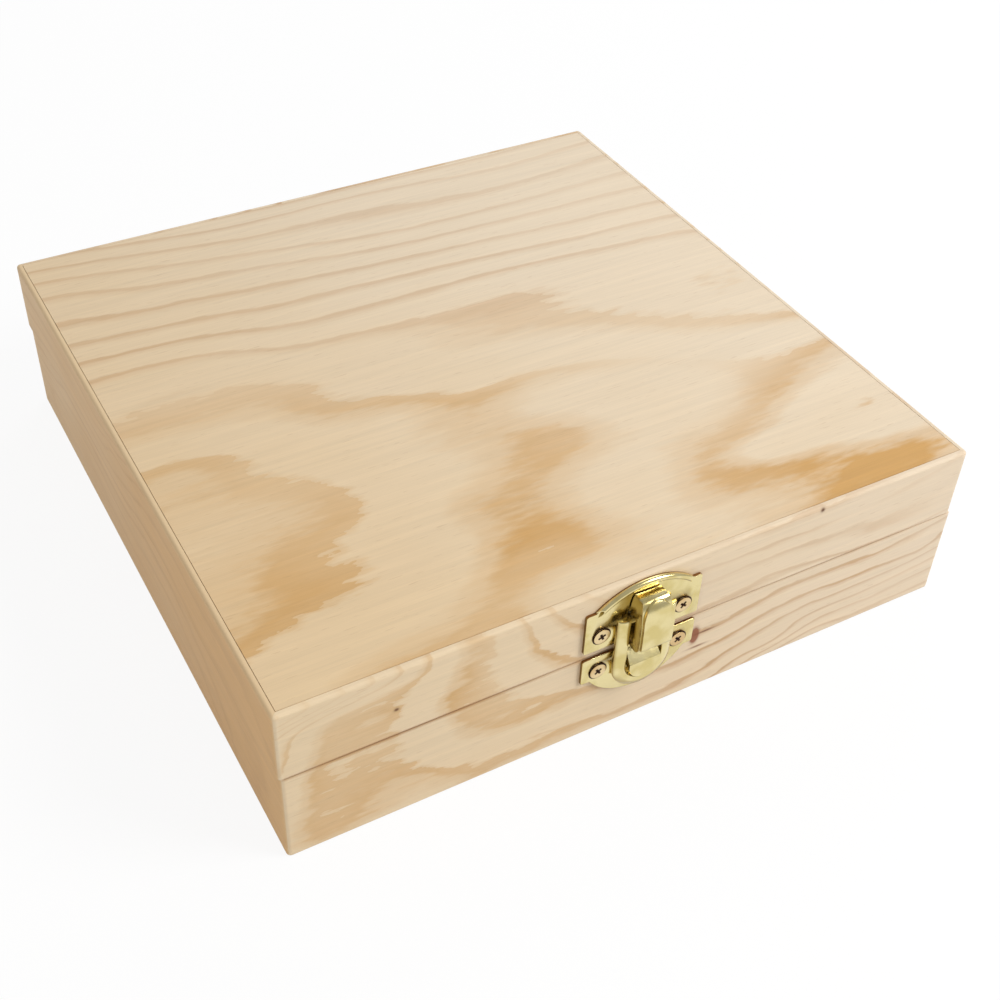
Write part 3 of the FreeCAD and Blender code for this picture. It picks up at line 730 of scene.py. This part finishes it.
pin = begin("lever_rivet", bpy.ops.mesh.primitive_cylinder_add, vertices=40, radius=0.7, depth=2 * lever_half,
            location=at(0, pivot_out, pivot_up), rotation=(0, math.pi / 2, 0))
for side in (-1, 1):
    pick("FACE", lambda across, out, up: abs(across - side * lever_half) < TINY)
    bpy.ops.transform.resize(value=(1, 1.5, 1.5))
    push(across=side * 0.14)
    bpy.ops.transform.resize(value=(1, 0.6, 0.6))
outwards()
settle(pin, "lid", "brass", "lever_pin")

# %% [markdown]
# The lever is pressed from one sheet: a round nose about the pin, a straight front and a brow
# that leans back to a narrow tip. It is built up like a tower, each storey pushed up from the one
# below and then set to its own width and depth. A smaller tower hollows the back out.

# %% Lever
LEVER_STOREYS = ((1.60, 4.1, 2.75, 3.8), (1.95, 4.75, 2.05, 3.8), (2.60, 5.2, 1.55, 3.8), (3.20, 5.45, 1.28, 3.8),
                 (3.90, 5.55, 1.15, 3.8), (6.20, 5.56, 1.0, 3.8), (8.80, 5.55, 1.0, 3.8), (10.4, 5.48, 1.0, 3.8),
                 (11.8, 5.28, 1.0, 3.8), (12.8, 5.02, 1.0, 3.68), (13.7, 4.66, 1.0, 3.5), (14.4, 4.28, 1.0, 3.3),
                 (14.95, 3.85, 1.0, 3.1), (15.25, 3.45, 1.0, 2.98))
HOLLOW_STOREYS = ((-1.0, 8.0, -2.0, 3.1), (2.58, 8.0, -2.0, 3.1), (2.60, 4.9, -2.0, 3.1), (3.9, 5.15, -2.0, 3.1),
                  (10.4, 5.1, -2.0, 3.1), (12.6, 4.7, -2.0, 2.7))


def tower(name, storeys):
    first_up, first_front, first_back, first_half = storeys[0]
    form = begin(name, bpy.ops.mesh.primitive_plane_add, size=1,
                 stretch=(2 * first_half, first_front - first_back, 1), location=at(0, (first_front + first_back) / 2, first_up))
    bpy.ops.mesh.select_all(action="SELECT")
    for below, storey in zip(storeys, storeys[1:]):
        depth_share = (storey[1] - storey[2]) / (below[1] - below[2])
        push(out=(storey[1] + storey[2] - below[1] - below[2]) / 2, up=storey[0] - below[0])
        bpy.ops.transform.resize(value=(storey[3] / below[3], depth_share, 1))
    outwards()
    return form


lever = tower("latch_lever_pressed", LEVER_STOREYS)
pick("VERT", lambda across, out, up: up > 15.2 and out < 2.0)
bpy.ops.transform.translate(value=(0, 0, -0.45))
bpy.ops.transform.resize(value=(0.72, 1, 1))
ease(lever, 0.55, 4, 50)
combine(lever, tower("lever_hollow", HOLLOW_STOREYS))

# %% [markdown]
# A thumb pad is pressed forward out of the lever's front, square at the foot and round at the top,
# and nearly as wide as the lever. One edge is pushed up just inside the front, narrowing at the
# round end, and the strip is then pushed out through the front and gets soft edges.

# %% Thumb pad
pad_half, pad_foot, pad_round, pad_rise, pad_sunk, pad_proud = 3.68, 3.3, 10.4, 4.55, 0.35, 0.68
pad_row = [(up, pad_half) for up in (pad_foot, 3.9, 6.2, 8.8, pad_round)]
for degrees in (10, 20, 30, 40, 50, 60, 70, 78, 84, 88):
    turn = math.radians(degrees)
    pad_row.append((pad_round + pad_rise * math.sin(turn), pad_half * math.cos(turn)))


def lever_front(up):
    for low, high in zip(LEVER_STOREYS, LEVER_STOREYS[1:]):
        if low[0] <= up <= high[0]:
            return low[1] + (high[1] - low[1]) * (up - low[0]) / (high[0] - low[0])


pad = begin("thumb_pad", bpy.ops.mesh.primitive_plane_add, size=1, stretch=(2 * pad_half, 1, 1),
            location=at(0, lever_front(pad_foot) - pad_sunk - 0.5, pad_foot))
pick("VERT", lambda across, out, up: out < lever_front(pad_foot) - pad_sunk - 0.5)
bpy.ops.mesh.delete(type="VERT")
bpy.ops.mesh.select_mode(type="EDGE")
bpy.ops.mesh.select_all(action="SELECT")
for (low, low_half), (high, high_half) in zip(pad_row, pad_row[1:]):
    push(out=lever_front(high) - lever_front(low), up=high - low)
    bpy.ops.transform.resize(value=(high_half / low_half, 1, 1))
outwards()
bpy.ops.mesh.select_all(action="SELECT")
push(out=pad_sunk + pad_proud)
outwards()
ease(pad, 0.42, 4, 40)
lever = join(pad, lever)
settle(lever, "lever", "brass", "latch_lever", angle=50)

# %% [markdown]
# The bail is a strip bent into a loop, with a crowned face. Its cross section is drawn once on the
# left arm, spun half a turn under the beak, and both ends are then pushed up to the lever, where
# two short pins turn in the lever's sides.

# %% Bail
bail_inner, bail_strip, bail_drop, bail_top = 4.3, 2.8, 4.3, 9.7
BAIL_CROWN = ((0.0, 2.62), (0.12, 2.82), (0.28, 2.94), (0.55, 2.74), (0.85, 2.40), (1.0, 1.98))
bail = begin("bail_loop", bpy.ops.mesh.primitive_circle_add, vertices=8, radius=1, fill_type="NGON")
section = [(bail_inner, 1.25), *((bail_inner + bail_strip * share, out) for share, out in BAIL_CROWN),
           (bail_inner + bail_strip, 1.25)]
mesh = bmesh.from_edit_mesh(bail.data)
for point, (across, out) in zip(mesh.verts, section):
    point.co = at(-across, out, -bail_drop)
bmesh.update_edit_mesh(bail.data)
bpy.ops.mesh.select_all(action="SELECT")
bpy.ops.mesh.spin(steps=48, angle=math.pi, center=at(0, 0, -bail_drop), axis=(0, 1, 0))
pick("FACE", lambda across, out, up: abs(up + bail_drop) < TINY)
push(up=bail_drop + bail_top)
outwards()
ease(bail, 0.22, 3, 40)
for side in (-1, 1):
    trunnion = begin("bail_pin", bpy.ops.mesh.primitive_cylinder_add, vertices=24, radius=0.5, depth=1.6,
                     location=at(side * 4.0, 2.1, 8.9), rotation=(0, math.pi / 2, 0))
    bail = join(trunnion, bail)
settle(bail, "bail", "brass", "latch_bail", angle=40)

# %% [markdown]
# The lower plate carries the beak that the bail hooks under. The beak starts as a cone that flares
# outwards. Its upper half is flattened and pushed up into a straight stem, and a slanting cut
# makes the ramp that the bail slides over.

# %% Catch plate
lower_plate = stamped_plate("catch_plate_stamped", 0.0, -7.0, -13.3, -lower_drop)
beak_root, beak_tip, beak_out = 3.3, 3.8, 3.4
beak = begin("beak", bpy.ops.mesh.primitive_cone_add, vertices=64, radius1=beak_root, radius2=beak_tip,
             depth=beak_out - 0.2, location=at(0, (beak_out + 0.2) / 2, -bail_drop), rotation=(math.pi / 2, 0, 0))
pick("VERT", lambda across, out, up: up > -bail_drop + TINY)
bpy.ops.transform.resize(value=(1, 1, 0), center_override=at(0, 0, -bail_drop))
bpy.ops.mesh.select_all(action="SELECT")
bpy.ops.mesh.remove_doubles(threshold=0.001)
pick("FACE", lambda across, out, up: abs(up + bail_drop) < TINY)
push(up=bail_drop)
outwards()
bpy.ops.mesh.select_all(action="SELECT")
bpy.ops.mesh.bisect(plane_co=at(0, 0.35, -0.4), plane_no=(0, -2.0, 3.05), use_fill=True, clear_outer=True)
outwards()
ease(beak, 0.75, 6, 40)
lower_plate = join(beak, lower_plate)
settle(lower_plate, "base", "brass", "catch_plate")
